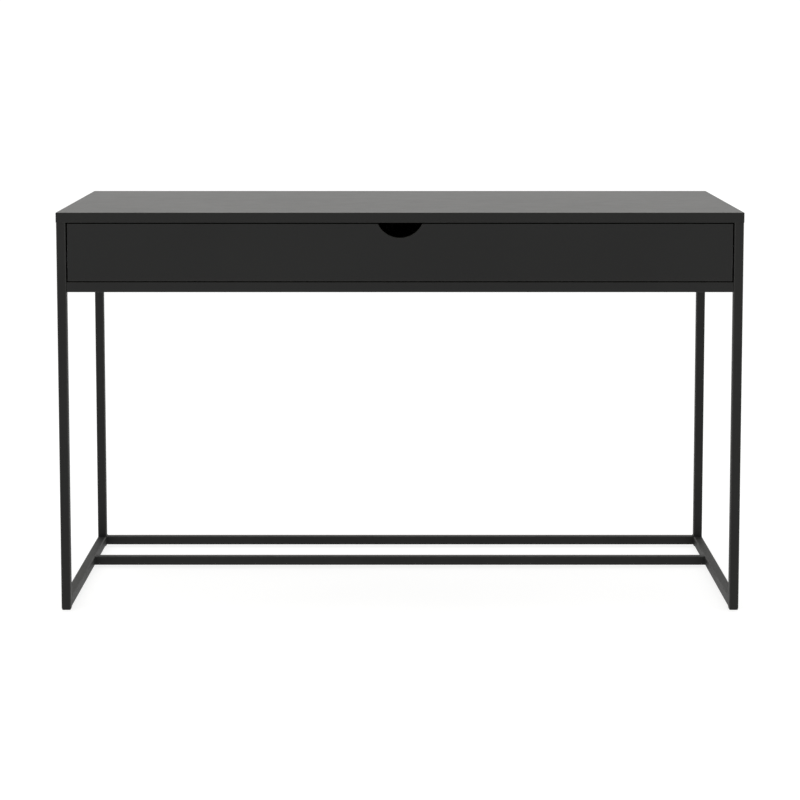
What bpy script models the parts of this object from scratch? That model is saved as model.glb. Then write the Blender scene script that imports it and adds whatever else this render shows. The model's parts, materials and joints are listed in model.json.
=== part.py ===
"""Writing desk: a lacquered board case with one full-width drawer, set in a welded frame of slim
square tube. Each side of the frame is a closed loop that stands on a floor runner, and two
stretchers near the floor tie the loops together. The drawer runs on full-extension slides.

Metres, +Z up. The front faces -Y, the origin is on the floor under the middle of the desk.
"""

import math

import bmesh
import bpy
from mathutils import Matrix, Vector

# Overall size
DESK_WIDTH = 1.300
DESK_DEPTH = 0.600
DESK_HEIGHT = 0.765
CASE_HEIGHT = 0.151  # from the worktop's surface to the underside of the case

# Boards
BOARD = 0.019
SIDE_BOARD = 0.016
ARRIS = 0.0008  # rounding of a board's edges

# Steel frame
TUBE = 0.018
TUBE_WALL = 0.0015
TUBE_CORNER = 0.0018
TOP_OVERHANG = 0.0005  # the worktop stands this far proud of the frame
MIDDLE_STRETCHER_SETBACK = 0.380
GLIDE_PAD = 0.004
GLIDE_STEM = 0.018
GLIDE_INSET = 0.0004  # the pad is this much smaller than the tube on each side
GLIDE_ROUNDING = 0.0025  # of the pad's corners and lower edges
STRIP_WIDTH = 0.014
STRIP_THICKNESS = 0.003
STRIP_HALF_LENGTH = 0.240

# Drawer
FRONT_GAP_SIDE = 0.0027
FRONT_GAP_TOP = 0.0021
FRONT_GAP_BOTTOM = 0.0018
NOTCH_RADIUS = 0.0466
NOTCH_CENTRE_RISE = 0.0200  # how far the finger notch's centre lies above the drawer front
NOTCH_STEPS = 28
DRAWER_BOARD = 0.012
DRAWER_SIDE_HEIGHT = 0.085
DRAWER_BOX_DEPTH = 0.520
DRAWER_BOX_RISE = 0.005  # the box's lower edge above the drawer front's
DRAWER_BOTTOM = 0.006
DRAWER_BOTTOM_RISE = 0.010
GROOVE_DEPTH = 0.006

# Slides
SLIDE_LENGTH = 0.450
SLIDE_SETBACK = 0.003  # behind the drawer front
SLIDE_RISE = 0.040  # the slide's middle above the drawer side's lower edge
SLIDE_SHEET = 0.0012
SLIDE_THICKNESS = 0.0127  # from the case side to the drawer side
SLIDE_HEIGHTS = {"outer": 0.0450, "middle": 0.0356, "inner": 0.0262}
SLIDE_LIPS = {"outer": 0.0025, "middle": 0.0025, "inner": 0.0}
SLIDE_RUNNING_GAP = 0.0005
CAGE_SHEET = 0.0006
CAGE_LENGTH = 0.180
BALL_RADIUS = 0.0013
BALLS_PER_ROW = 6

# Small parts
BRACKET_LEG = 0.030
BRACKET_HEIGHT = 0.020
BRACKET_SHEET = 0.0015
BRACKET_HOLE = 0.0186  # from the angle's corner
BRACKET_RISE = 0.055
SCREW_SHANK = 0.00175
SCREW_HEAD = 0.0036
SCREW_HEAD_HEIGHT = 0.0017
SCREW_POINT = 0.003
SCREW_SIDES = 12
SCREW_LENGTHS = {"top": 0.016, "back": 0.040, "case": 0.0135, "drawer": 0.010, "front": 0.014}
TOP_SCREW_SPACING = 0.200
BACK_SCREW_SPACING = 0.450
SLIDE_SCREW_STEPS = {"front": 0.035, "rear": 0.390}
DRAWER_SCREW_SHIFT = 0.016  # the drawer member's screws sit behind the case member's

TOUCH = 0.0003  # gap kept where two pieces meet

# Planes that follow from the sizes above
TOP_UNDERSIDE = DESK_HEIGHT - BOARD
CASE_UNDERSIDE = DESK_HEIGHT - CASE_HEIGHT
CASE_FLOOR = CASE_UNDERSIDE + BOARD
FRAME_X = DESK_WIDTH / 2 - TOP_OVERHANG
FRAME_Y = DESK_DEPTH / 2 - TOP_OVERHANG
LEG_X = FRAME_X - TUBE / 2
LEG_Y = FRAME_Y - TUBE / 2
INNER_X = FRAME_X - TUBE
INNER_Y = FRAME_Y - TUBE
SIDE_BOARD_X = FRAME_X - (TUBE - SIDE_BOARD) / 2
SLIDE_WALL_X = SIDE_BOARD_X - SIDE_BOARD
DRAWER_X = SLIDE_WALL_X - SLIDE_THICKNESS - TOUCH
DRAWER_INNER_X = DRAWER_X - DRAWER_BOARD
FRONT_BACK_Y = -FRAME_Y + BOARD
DRAWER_FRONT_LOW = CASE_FLOOR + FRONT_GAP_BOTTOM
DRAWER_FRONT_HIGH = TOP_UNDERSIDE - FRONT_GAP_TOP
DRAWER_LOW = DRAWER_FRONT_LOW + DRAWER_BOX_RISE
DRAWER_HIGH = DRAWER_LOW + DRAWER_SIDE_HEIGHT
DRAWER_REAR_Y = FRONT_BACK_Y + TOUCH + DRAWER_BOX_DEPTH
SLIDE_Z = DRAWER_LOW + SLIDE_RISE
SLIDE_FRONT_Y = FRONT_BACK_Y + SLIDE_SETBACK
SIDES = {"left": -1, "right": 1}


def clear_scene():
    for obj in list(bpy.data.objects):
        bpy.data.objects.remove(obj, do_unlink=True)


# Materials


def material(name, colour, roughness, metallic=0.0):
    made = bpy.data.materials.new(name)
    made.use_nodes = True
    shader = made.node_tree.nodes["Principled BSDF"]
    shader.inputs["Base Color"].default_value = (*colour, 1.0)
    shader.inputs["Roughness"].default_value = roughness
    shader.inputs["Metallic"].default_value = metallic
    made.diffuse_color = (*colour, 1.0)
    return made


def make_finishes():
    return {
        "lacquer": material("black_lacquered_board", (0.027, 0.027, 0.025), 0.45),
        "drawer_board": material("drawer_side_board", (0.035, 0.035, 0.034), 0.60),
        "powder_coat": material("black_powder_coat", (0.024, 0.024, 0.023), 0.50),
        "zinc": material("zinc_plated_steel", (0.55, 0.56, 0.58), 0.35, 1.0),
        "screw": material("black_zinc_screw", (0.09, 0.09, 0.09), 0.40, 1.0),
        "glide": material("black_nylon", (0.015, 0.015, 0.015), 0.60),
    }


# Building blocks


def add_object(name, shape, finish, spot=(0, 0, 0), parent=None, turn=None):
    """Turns a bmesh into a named object that stands at spot in the world."""
    mesh = bpy.data.meshes.new(name)
    bmesh.ops.recalc_face_normals(shape, faces=shape.faces)
    shape.to_mesh(mesh)
    shape.free()
    mesh.materials.append(finish)
    obj = bpy.data.objects.new(name, mesh)
    bpy.context.scene.collection.objects.link(obj)
    obj.location = spot
    if parent is not None:
        obj.parent = parent
        obj.location = Vector(spot) - parent.location
    if turn is not None:
        obj.rotation_mode = "QUATERNION"
        obj.rotation_quaternion = turn
    return obj


def joint_origin(name, spot):
    """An empty on a joint's axis, which carries the pieces that move with it."""
    empty = bpy.data.objects.new(name, None)
    bpy.context.scene.collection.objects.link(empty)
    empty.location = spot
    return empty


def smooth(obj, angle=35):
    obj.data.shade_smooth()
    obj.data.set_sharp_from_angle(angle=math.radians(angle))


def block(size, rounding):
    """A bmesh box about its own centre, with its edges rounded."""
    shape = bmesh.new()
    bmesh.ops.create_cube(shape, size=1.0)
    bmesh.ops.scale(shape, vec=size, verts=shape.verts)
    if rounding:
        bmesh.ops.bevel(
            shape, geom=shape.edges[:], offset=rounding, segments=2, profile=0.5, affect="EDGES"
        )
    return shape


def add_board(name, low, high, finish, rounding=ARRIS, parent=None):
    """A board between two opposite corners in the world, given in either order on each axis."""
    pairs = list(zip(low, high))
    low = Vector([min(pair) for pair in pairs])
    high = Vector([max(pair) for pair in pairs])
    return add_object(name, block(high - low, rounding), finish, (low + high) / 2, parent)


def add_tube(name, start, end, finish):
    """A length of square tube, open at both ends, between the middles of its two ends."""
    start, end = Vector(start), Vector(end)
    run = end - start
    shape = bmesh.new()
    bmesh.ops.create_cube(shape, size=1.0)
    bmesh.ops.scale(shape, vec=(TUBE, TUBE, run.length), verts=shape.verts)
    corners = [e for e in shape.edges if abs(e.verts[0].co.z - e.verts[1].co.z) > TUBE]
    bmesh.ops.bevel(
        shape, geom=corners, offset=TUBE_CORNER, segments=3, profile=0.5, affect="EDGES"
    )
    ends = [f for f in shape.faces if abs(f.normal.z) > 0.99]
    bmesh.ops.inset_individual(shape, faces=ends, thickness=TUBE_WALL, use_even_offset=True)
    rims = [e for f in ends for e in f.edges]
    bmesh.ops.delete(shape, geom=ends, context="FACES_ONLY")
    bmesh.ops.bridge_loops(shape, edges=rims)
    turn = run.to_track_quat("Z", "Y")
    tube = add_object(name, shape, finish, (start + end) / 2, turn=turn)
    smooth(tube)
    return tube


def extruded(outline, depth):
    """A solid with this XZ outline, depth long in Y and centred on Y = 0."""
    shape = bmesh.new()
    corners = [shape.verts.new((x, -depth / 2, z)) for x, z in outline]
    face = shape.faces.new(corners)
    grown = bmesh.ops.extrude_face_region(shape, geom=[face])
    moved = [v for v in grown["geom"] if isinstance(v, bmesh.types.BMVert)]
    bmesh.ops.translate(shape, vec=(0, depth, 0), verts=moved)
    return shape


def turned(profile):
    """A solid of revolution about Z from (radius, z) points that start and end on the axis."""
    shape = bmesh.new()
    points = [shape.verts.new((radius, 0, z)) for radius, z in profile]
    edges = [shape.edges.new(pair) for pair in zip(points, points[1:])]
    bmesh.ops.spin(
        shape,
        geom=points + edges,
        cent=(0, 0, 0),
        axis=(0, 0, 1),
        angle=math.tau,
        steps=SCREW_SIDES,
        use_merge=True,
    )
    bmesh.ops.remove_doubles(shape, verts=shape.verts, dist=1e-6)
    return shape


def cut(target, cutter, operation="DIFFERENCE"):
    """Cuts a hidden helper from the target, or joins it to the target."""
    cutter.hide_render = True
    cutter.display_type = "WIRE"
    change = target.modifiers.new(cutter.name, "BOOLEAN")
    change.operation = operation
    change.solver = "EXACT"
    change.object = cutter


# Screws


def screw_profile(length):
    """A pan head above Z = 0 and a pointed shank below it."""
    head = [
        (SCREW_HEAD * math.sin(a), SCREW_HEAD_HEIGHT * (0.45 + 0.55 * math.cos(a)))
        for a in map(math.radians, (0, 40, 70, 90))
    ]
    shank = [(SCREW_SHANK, 0), (SCREW_SHANK, SCREW_POINT - length), (0, -length)]
    return [*head, (SCREW_HEAD, 0), *shank]


def hole_profile(length):
    """The shank's shape with room all round it, and open above."""
    radius = SCREW_SHANK + TOUCH
    above = 3 * TOUCH
    return [(0, above), (radius, above), (radius, SCREW_POINT - length), (0, -length - 2 * TOUCH)]


def add_screw(name, seat, direction, length, targets, finish, parent=None):
    """A screw whose head rests at seat and which runs along direction through the targets."""
    direction = Vector(direction)
    turn = (-direction).to_track_quat("Z", "Y")
    spot = Vector(seat) - direction * TOUCH
    screw = add_object(name, turned(screw_profile(length)), finish, spot, parent, turn)
    smooth(screw)
    hole = add_object(name + "_hole", turned(hole_profile(length)), finish, spot, parent, turn)
    for target in targets:
        cut(target, hole)


# Steel frame


def make_side_loop(side, finishes):
    """Front leg, rear leg, floor runner and upper rail of one side. Returns its fixing strip."""
    steel = finishes["powder_coat"]
    x = SIDES[side] * LEG_X
    for end, y in (("front", -LEG_Y), ("rear", LEG_Y)):
        low = (x, y, GLIDE_PAD)
        high = (x, y, TOP_UNDERSIDE - TOUCH)
        add_tube(f"{end}_leg_{side}", low, high, steel)
    reach = INNER_Y - TOUCH
    levels = {
        "floor_runner": GLIDE_PAD + TUBE / 2,
        "upper_side_rail": TOP_UNDERSIDE - TOUCH - TUBE / 2,
    }
    for name, z in levels.items():
        add_tube(f"{name}_{side}", (x, -reach, z), (x, reach, z), steel)
    near = SIDES[side] * (INNER_X - TOUCH)
    far = near - SIDES[side] * STRIP_WIDTH
    top = TOP_UNDERSIDE - TOUCH
    return add_board(
        f"top_fixing_strip_{side}",
        (near, -STRIP_HALF_LENGTH, top - STRIP_THICKNESS),
        (far, STRIP_HALF_LENGTH, top),
        steel,
        rounding=ARRIS / 2,
    )


def make_stretchers(finishes):
    z = GLIDE_PAD + TUBE / 2
    reach = INNER_X - TOUCH
    middle_y = MIDDLE_STRETCHER_SETBACK - DESK_DEPTH / 2 + TUBE / 2
    for name, y in (("rear_stretcher", LEG_Y), ("middle_stretcher", middle_y)):
        add_tube(name, (-reach, y, z), (reach, y, z), finishes["powder_coat"])


def make_glide(name, x, y, finish):
    """A square plug for a leg's end: a pad under the tube and a stem up its bore."""
    pad = TUBE - 2 * GLIDE_INSET
    height = GLIDE_PAD - TOUCH
    stem = TUBE - 2 * (TUBE_WALL + TOUCH)
    shape = block((pad, pad, height), 0)
    bmesh.ops.translate(shape, verts=shape.verts, vec=(0, 0, height / 2))
    rounded = [e for e in shape.edges if min(v.co.z for v in e.verts) < height / 2]
    bmesh.ops.bevel(
        shape, geom=rounded, offset=GLIDE_ROUNDING, segments=3, profile=0.5, affect="EDGES"
    )
    top = max(shape.faces, key=lambda f: (round(f.calc_center_median().z, 6), f.calc_area()))
    rim = (pad - stem) / 2
    bmesh.ops.inset_individual(shape, faces=[top], thickness=rim, use_even_offset=True)
    grown = bmesh.ops.extrude_face_region(shape, geom=[top])
    raised = [v for v in grown["geom"] if isinstance(v, bmesh.types.BMVert)]
    bmesh.ops.delete(shape, geom=[top], context="FACES_ONLY")
    bmesh.ops.translate(shape, verts=raised, vec=(0, 0, GLIDE_STEM))
    return add_object(name, shape, finish, (x, y, 0))


def make_glides(finishes):
    for end, y in (("front", -LEG_Y), ("rear", LEG_Y)):
        for side, sign in SIDES.items():
            make_glide(f"{end}_glide_{side}", sign * LEG_X, y, finishes["glide"])


# Case


def make_case(finishes):
    """The worktop, and the boards that stand between the legs. Returns them by name."""
    lacquer = finishes["lacquer"]
    between = INNER_X - TOUCH
    half = Vector((DESK_WIDTH / 2, DESK_DEPTH / 2))
    corners = {
        "worktop": ((-half.x, -half.y, TOP_UNDERSIDE), (half.x, half.y, DESK_HEIGHT)),
        "case_bottom": ((-between, -FRAME_Y, CASE_UNDERSIDE), (between, FRAME_Y, CASE_FLOOR)),
        "back_panel": (
            (-between, FRAME_Y - BOARD, CASE_FLOOR + TOUCH),
            (between, FRAME_Y, TOP_UNDERSIDE - TOUCH),
        ),
    }
    for side, sign in SIDES.items():
        corners[f"side_panel_{side}"] = (
            (sign * SIDE_BOARD_X, -INNER_Y + TOUCH, CASE_UNDERSIDE),
            (sign * SLIDE_WALL_X, INNER_Y - TOUCH, TOP_UNDERSIDE - TUBE - 2 * TOUCH),
        )
    return {name: add_board(name, low, high, lacquer) for name, (low, high) in corners.items()}


def fasten_case(case, strips, finishes):
    """Screws up through the steel strips into the worktop, and up into the back panel."""
    strip_x = INNER_X - TOUCH - STRIP_WIDTH / 2
    strip_z = TOP_UNDERSIDE - TOUCH - STRIP_THICKNESS
    upwards = (0, 0, 1)
    for side, sign in SIDES.items():
        for row, end in enumerate(("front", "middle", "rear")):
            add_screw(
                f"top_screw_{side}_{end}",
                (sign * strip_x, (row - 1) * TOP_SCREW_SPACING, strip_z),
                upwards,
                SCREW_LENGTHS["top"],
                [strips[side], case["worktop"]],
                finishes["screw"],
            )
    for column, end in enumerate(("left", "centre", "right")):
        add_screw(
            f"back_panel_screw_{end}",
            ((column - 1) * BACK_SCREW_SPACING, FRAME_Y - BOARD / 2, CASE_UNDERSIDE),
            upwards,
            SCREW_LENGTHS["back"],
            [case["case_bottom"], case["back_panel"]],
            finishes["screw"],
        )


# Slides


def channel_outline(height, depth, sheet, lip):
    """A channel in XZ: its web lies on X = 0 and its flanges run to X = depth.

    A lip is turned in at the edge of each flange, towards the middle.
    """
    half = height / 2
    upper = [(0, half), (depth, half)]
    if lip:
        upper += [(depth, half - sheet - lip), (depth - sheet, half - sheet - lip)]
        upper += [(depth - sheet, half - sheet)]
    else:
        upper += [(depth, half - sheet)]
    upper += [(sheet, half - sheet)]
    return upper + [(x, -z) for x, z in reversed(upper)]


def add_channel(name, side, outline, back, opens, length, finish, parent):
    """A channel along Y. back is its web's X on the right side, opens the way it faces there."""
    shape = extruded(outline, length)
    bmesh.ops.scale(shape, verts=shape.verts, vec=(opens * SIDES[side], 1, 1))
    spot = (SIDES[side] * back, SLIDE_FRONT_Y + SLIDE_LENGTH / 2, SLIDE_Z)
    return add_object(f"{name}_{side}", shape, finish, spot, parent)


def add_slide_member(member, side, back, mouth, finish, parent=None):
    """One pressed member between its web's back and the edges of its flanges."""
    height, lip = SLIDE_HEIGHTS[member], SLIDE_LIPS[member]
    outline = channel_outline(height, abs(mouth - back), SLIDE_SHEET, lip)
    opens = math.copysign(1, mouth - back)
    name = f"slide_{member}"
    return add_channel(name, side, outline, back, opens, SLIDE_LENGTH, finish, parent)


def add_ball_cage(name, side, around, inside, back, mouth, ball_x, finish, parent):
    """A thin channel that carries two rows of balls between two slide members."""
    race = (SLIDE_HEIGHTS[inside] / 2 + SLIDE_HEIGHTS[around] / 2 - SLIDE_SHEET) / 2
    height = 2 * race + CAGE_SHEET
    outline = channel_outline(height, back - mouth, CAGE_SHEET, 0)
    cage = add_channel(name, side, outline, back, -1, CAGE_LENGTH, finish, parent)
    balls = bmesh.new()
    pitch = CAGE_LENGTH / BALLS_PER_ROW
    for level in (-race, race):
        for i in range(BALLS_PER_ROW):
            spot = (SIDES[side] * (ball_x - back), (i + 0.5) * pitch - CAGE_LENGTH / 2, level)
            bmesh.ops.create_uvsphere(
                balls,
                u_segments=8,
                v_segments=5,
                radius=BALL_RADIUS,
                matrix=Matrix.Translation(spot),
            )
    centre = cage.location + (parent.location if parent else Vector())
    joined = add_object(f"{name}_{side}_balls", balls, finish, centre, parent)
    cut(cage, joined, "UNION")
    smooth(cage)


def make_slides(case, drawer_box, moving, finishes):
    """Three nested channels on each side, with a ball cage in each of the two races."""
    zinc, black = finishes["zinc"], finishes["screw"]
    gap = SLIDE_RUNNING_GAP
    outer_back = SLIDE_WALL_X - TOUCH
    outer_cage_back = outer_back - SLIDE_SHEET - TOUCH - SCREW_HEAD_HEIGHT - gap
    middle_back = outer_cage_back - CAGE_SHEET - gap
    inner_cage_back = middle_back - SLIDE_SHEET - gap
    inner_mouth = inner_cage_back - CAGE_SHEET - gap
    inner_back = DRAWER_X + TOUCH
    mouth = inner_back + SLIDE_SHEET
    cage_mouth = mouth + SLIDE_SHEET + gap
    outer_ball_x = (cage_mouth + outer_cage_back) / 2
    inner_ball_x = (cage_mouth + inner_cage_back - CAGE_SHEET) / 2
    drawer = moving["drawer"]
    for side, sign in SIDES.items():
        outer = add_slide_member("outer", side, outer_back, mouth, zinc)
        add_ball_cage(
            "outer_ball_cage",
            side,
            "outer",
            "middle",
            outer_cage_back,
            cage_mouth,
            outer_ball_x,
            zinc,
            moving[f"outer_cage_{side}"],
        )
        add_slide_member("middle", side, middle_back, mouth, zinc, moving[f"carriage_{side}"])
        add_ball_cage(
            "inner_ball_cage",
            side,
            "middle",
            "inner",
            inner_cage_back,
            cage_mouth,
            inner_ball_x,
            zinc,
            moving[f"inner_cage_{side}"],
        )
        inner = add_slide_member("inner", side, inner_back, inner_mouth, zinc, drawer)
        for end, step in SLIDE_SCREW_STEPS.items():
            add_screw(
                f"case_slide_screw_{side}_{end}",
                (sign * (outer_back - SLIDE_SHEET), SLIDE_FRONT_Y + step, SLIDE_Z),
                (sign, 0, 0),
                SCREW_LENGTHS["case"],
                [outer, case[f"side_panel_{side}"]],
                black,
            )
            y = SLIDE_FRONT_Y + step + DRAWER_SCREW_SHIFT
            add_screw(
                f"drawer_slide_screw_{side}_{end}",
                (sign * (inner_back + SLIDE_SHEET), y, SLIDE_Z),
                (-sign, 0, 0),
                SCREW_LENGTHS["drawer"],
                [inner, drawer_box[f"drawer_side_{side}"]],
                black,
                drawer,
            )


# Drawer


def front_outline(half_width, low, high):
    """A rectangle in XZ whose upper edge dips in a circular finger notch at the middle."""
    half_angle = math.acos(NOTCH_CENTRE_RISE / NOTCH_RADIUS)
    arc = []
    for i in range(NOTCH_STEPS + 1):
        angle = half_angle * (1 - 2 * i / NOTCH_STEPS)
        x = NOTCH_RADIUS * math.sin(angle)
        z = high + NOTCH_CENTRE_RISE - NOTCH_RADIUS * math.cos(angle)
        arc.append((x, z))
    return [(-half_width, low), (half_width, low), (half_width, high), *arc, (-half_width, high)]


def make_drawer_front(finish, drawer):
    middle = (DRAWER_FRONT_LOW + DRAWER_FRONT_HIGH) / 2
    half_height = DRAWER_FRONT_HIGH - middle
    outline = front_outline(INNER_X - FRONT_GAP_SIDE, -half_height, half_height)
    shape = extruded(outline, BOARD)
    rims = [e for e in shape.edges if abs(e.verts[0].co.y - e.verts[1].co.y) < TOUCH]
    bmesh.ops.bevel(shape, geom=rims, offset=ARRIS, segments=2, profile=0.5, affect="EDGES")
    spot = (0, FRONT_BACK_Y - BOARD / 2, middle)
    front = add_object("drawer_front", shape, finish, spot, drawer)
    smooth(front)
    return front


def make_drawer_box(drawer, finishes):
    """The drawer's five boards, with the bottom held in a groove. Returns them by name."""
    plain = finishes["drawer_board"]
    boards = {"drawer_front": make_drawer_front(finishes["lacquer"], drawer)}
    for side, sign in SIDES.items():
        low = (sign * DRAWER_X, FRONT_BACK_Y + TOUCH, DRAWER_LOW)
        high = (sign * DRAWER_INNER_X, DRAWER_REAR_Y, DRAWER_HIGH)
        name = f"drawer_side_{side}"
        boards[name] = add_board(name, low, high, plain, parent=drawer)
    reach = DRAWER_INNER_X - TOUCH
    boards["drawer_back"] = add_board(
        "drawer_back",
        (-reach, DRAWER_REAR_Y - DRAWER_BOARD, DRAWER_LOW),
        (reach, DRAWER_REAR_Y, DRAWER_HIGH),
        plain,
        parent=drawer,
    )
    in_groove = reach + GROOVE_DEPTH
    bottom_z = DRAWER_LOW + DRAWER_BOTTOM_RISE
    rear_edge = DRAWER_REAR_Y - DRAWER_BOARD + GROOVE_DEPTH
    low = Vector((-in_groove, FRONT_BACK_Y - GROOVE_DEPTH, bottom_z))
    high = Vector((in_groove, rear_edge, bottom_z + DRAWER_BOTTOM))
    spare = Vector((TOUCH, TOUCH, TOUCH))
    groove = add_board("bottom_groove", low - spare, high + spare, plain, 0, drawer)
    for target in boards.values():
        cut(target, groove)
    boards["drawer_bottom"] = add_board("drawer_bottom", low, high, plain, 0, drawer)
    return boards


def angle_outline():
    leg, t = BRACKET_LEG, BRACKET_SHEET
    return [(0, 0), (leg, 0), (leg, t), (t, t), (t, leg), (0, leg)]


def make_corner_brackets(drawer_box, drawer, finishes):
    """Steel angles in the drawer's two front corners, each with a screw in both boards."""
    corner_x = DRAWER_INNER_X - TOUCH
    corner_y = FRONT_BACK_Y + TOUCH
    z = DRAWER_LOW + BRACKET_RISE
    for side, sign in SIDES.items():
        shape = extruded(angle_outline(), BRACKET_HEIGHT)
        # The outline is laid flat, so that the angle stands upright in its corner.
        bmesh.ops.rotate(shape, verts=shape.verts, matrix=Matrix.Rotation(-math.pi / 2, 3, "X"))
        bmesh.ops.scale(shape, verts=shape.verts, vec=(-sign, 1, 1))
        spot = (sign * corner_x, corner_y, z)
        bracket = add_object(f"corner_bracket_{side}", shape, finishes["zinc"], spot, drawer)
        add_screw(
            f"bracket_front_screw_{side}",
            (sign * (corner_x - BRACKET_HOLE), corner_y + BRACKET_SHEET, z),
            (0, -1, 0),
            SCREW_LENGTHS["front"],
            [bracket, drawer_box["drawer_front"]],
            finishes["screw"],
            drawer,
        )
        add_screw(
            f"bracket_side_screw_{side}",
            (sign * (corner_x - BRACKET_SHEET), corner_y + BRACKET_HOLE, z),
            (sign, 0, 0),
            SCREW_LENGTHS["drawer"],
            [bracket, drawer_box[f"drawer_side_{side}"]],
            finishes["screw"],
            drawer,
        )


def main():
    clear_scene()
    finishes = make_finishes()
    strips = {side: make_side_loop(side, finishes) for side in SIDES}
    make_stretchers(finishes)
    make_glides(finishes)
    case = make_case(finishes)
    fasten_case(case, strips, finishes)

    moving = {"drawer": joint_origin("drawer_travel", (0, -FRAME_Y, SLIDE_Z))}
    for side, sign in SIDES.items():
        for part in ("outer_cage", "carriage", "inner_cage"):
            spot = (sign * DRAWER_X, SLIDE_FRONT_Y, SLIDE_Z)
            moving[f"{part}_{side}"] = joint_origin(f"{part}_travel_{side}", spot)
    drawer_box = make_drawer_box(moving["drawer"], finishes)
    make_corner_brackets(drawer_box, moving["drawer"], finishes)
    make_slides(case, drawer_box, moving, finishes)


main()
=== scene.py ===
import json
import math

import bmesh
import bpy
from mathutils import Matrix, Vector


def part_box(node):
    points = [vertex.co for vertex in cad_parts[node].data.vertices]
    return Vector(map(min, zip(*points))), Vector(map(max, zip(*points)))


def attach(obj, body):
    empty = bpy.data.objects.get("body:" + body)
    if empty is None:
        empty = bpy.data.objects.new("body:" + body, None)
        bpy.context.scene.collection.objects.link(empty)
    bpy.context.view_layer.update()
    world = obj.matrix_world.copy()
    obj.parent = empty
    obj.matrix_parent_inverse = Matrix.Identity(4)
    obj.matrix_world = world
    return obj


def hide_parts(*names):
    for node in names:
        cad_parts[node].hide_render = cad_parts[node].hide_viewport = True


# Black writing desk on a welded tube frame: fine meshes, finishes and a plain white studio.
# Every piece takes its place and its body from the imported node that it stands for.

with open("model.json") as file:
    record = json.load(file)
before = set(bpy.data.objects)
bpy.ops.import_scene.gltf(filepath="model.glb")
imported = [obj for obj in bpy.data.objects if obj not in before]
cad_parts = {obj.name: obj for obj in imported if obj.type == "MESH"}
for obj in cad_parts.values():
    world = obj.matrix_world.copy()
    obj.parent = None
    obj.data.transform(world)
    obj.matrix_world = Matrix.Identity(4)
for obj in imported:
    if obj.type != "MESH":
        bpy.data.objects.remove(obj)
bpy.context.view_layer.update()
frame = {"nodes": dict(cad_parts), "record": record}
bodyOf = {
    node: body
    for body, members in frame["record"]["behaviour"]["bodies"].items()
    for node in members
}
slotOf = {row["node"]: row["material_slot"] for row in frame["record"]["subparts"]}
sides = {"left": -1, "right": 1}


# camera

camera = {
    "lens": 111.66,
    "sensor": 36.0,
    "shift": -0.14,
    "clip": (0.05, 200.0),
    "tiltDown": 6.162,  # degrees
    "distance": 4.6679,  # from the worktop's front edge
    "height": 1.1261,
}


def placeCamera():
    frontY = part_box("worktop")[0].y
    data = bpy.data.cameras.new("camera")
    data.lens = camera["lens"]
    data.sensor_width = camera["sensor"]
    data.shift_y = camera["shift"]
    data.clip_start, data.clip_end = camera["clip"]
    made = bpy.data.objects.new("camera", data)
    bpy.context.scene.collection.objects.link(made)
    made.location = (0.0, frontY - camera["distance"], camera["height"])
    made.rotation_euler = (math.radians(90.0 - camera["tiltDown"]), 0.0, 0.0)
    bpy.context.scene.camera = made


# finishes: a wire is a socket of a finish, and sums on it add Math nodes
class Wire:
    def __init__(self, socket):
        self.socket = socket

    # kind of node, its settings, then its sockets' values or links
    def node(self, kind, settings, values, output=0):
        tree = self.socket.id_data
        made = tree.nodes.new("ShaderNode" + kind)
        for name, value in settings.items():
            setattr(made, name, value)
        for name, value in values.items():
            if isinstance(value, Wire):
                tree.links.new(value.socket, made.inputs[name])
            else:
                made.inputs[name].default_value = value
        return Wire(made.outputs[output])

    def sum(self, operation, first, second):
        return self.node("Math", {"operation": operation}, {0: first, 1: second})

    def __add__(self, other):
        return self.sum("ADD", self, other)

    def __radd__(self, other):
        return self.sum("ADD", other, self)

    def __sub__(self, other):
        return self.sum("SUBTRACT", self, other)

    def __rsub__(self, other):
        return self.sum("SUBTRACT", other, self)

    def __mul__(self, other):
        return self.sum("MULTIPLY", self, other)

    def __rmul__(self, other):
        return self.sum("MULTIPLY", other, self)


# 0 below low, 1 above high
def step(value, low, high):
    settings = {"interpolation_type": "SMOOTHSTEP"}
    return value.node("MapRange", settings, {"Value": value, "From Min": low, "From Max": high})


# patches of about this size in metres, around 0.5
def patches(place, size, detail=2.0):
    return place.node("TexNoise", {}, {"Vector": place, "Scale": 1.0 / size, "Detail": detail})


# round dots this far apart, 1 at their middles
def dots(place, spacing, radius):
    distance = place.node("TexVoronoi", {}, {"Vector": place, "Scale": 1.0 / spacing})
    return 1.0 - step(distance, 0.3 * radius / spacing, radius / spacing)


# the pattern's coordinates, stretched along an axis so that it runs in streaks
def stretched(place, ratios):
    return place.node("Mapping", {}, {"Vector": place, "Scale": ratios})


def mixed(factor, first, second):
    return factor.node("Mix", {"data_type": "RGBA"}, {0: factor, 6: first, 7: second}, 2)


def raised(height, depth, normal=None):
    values = {"Height": height, "Strength": 1.0, "Distance": depth}
    if normal is not None:
        values["Normal"] = normal
    return height.node("Bump", {}, values)


def colour(red, green, blue):
    return (red, green, blue, 1.0)


# a finish with what is the same all over it, its shader and its place on the piece
def newFinish(name, constants):
    made = bpy.data.materials.new(name)
    made.use_nodes = True
    shader = made.node_tree.nodes["Principled BSDF"]
    for socket, value in constants.items():
        shader.inputs[socket].default_value = value
    where = made.node_tree.nodes.new("ShaderNodeTexCoord")
    return made, shader, Wire(where.outputs["Object"])


def drive(shader, **wires):
    for name, wire in wires.items():
        shader.id_data.links.new(wire.socket, shader.inputs[name.replace("_", " ")])


def wornEdges(place):
    return place.node("Attribute", {"attribute_name": "wear"}, {}, "Fac")


# worn edges that come and go in patches of this size
def rubbedEdges(place, size, low=0.45, high=0.95):
    return step(wornEdges(place) * (0.4 + patches(place, size, 4.0)), low, high)


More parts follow.
